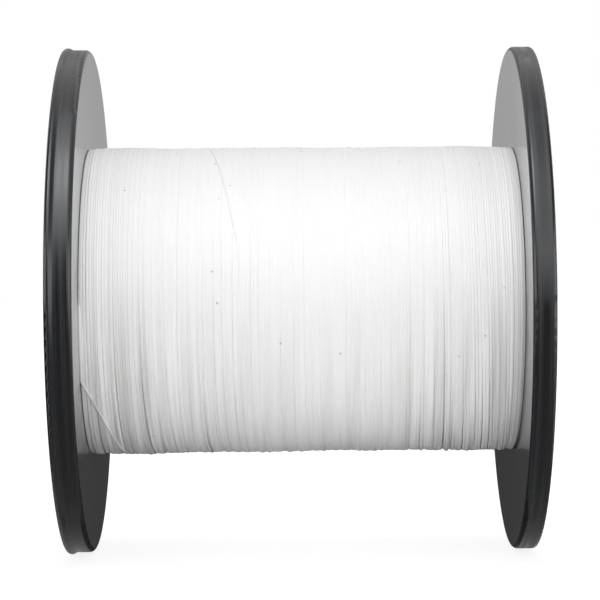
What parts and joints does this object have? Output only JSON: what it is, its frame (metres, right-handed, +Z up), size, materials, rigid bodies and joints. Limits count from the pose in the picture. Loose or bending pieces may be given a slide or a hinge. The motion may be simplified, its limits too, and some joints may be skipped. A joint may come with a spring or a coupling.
{
  "type": "string reel",
  "caption": "Reel of white racket string: black moulded flanges with ribbed outer sides on a barrel, wound full width with string, with a bore through the hub for a stand's rod.",
  "frame": {"origin": "on the reel's axis, halfway between the inner edges of the flanges' rims, in the middle of the spindle bore", "axes": "+X along the reel's axis towards the right flange, +Z up, the front is -Y"},
  "size_m": [0.1191, 0.13, 0.13],
  "materials": {
    "black_moulding": "glossy black moulding with fine turning scratches on the rims",
    "white_string": "smooth white nylon string with a soft sheen"
  },
  "bodies": {
    "root": {"left_flange": "black_moulding", "right_flange": "black_moulding", "barrel": "black_moulding", "winding": "white_string", "loose_turn": "white_string", "crossing_turn": "white_string", "string_start": "white_string"}
  },
  "joints": []
}
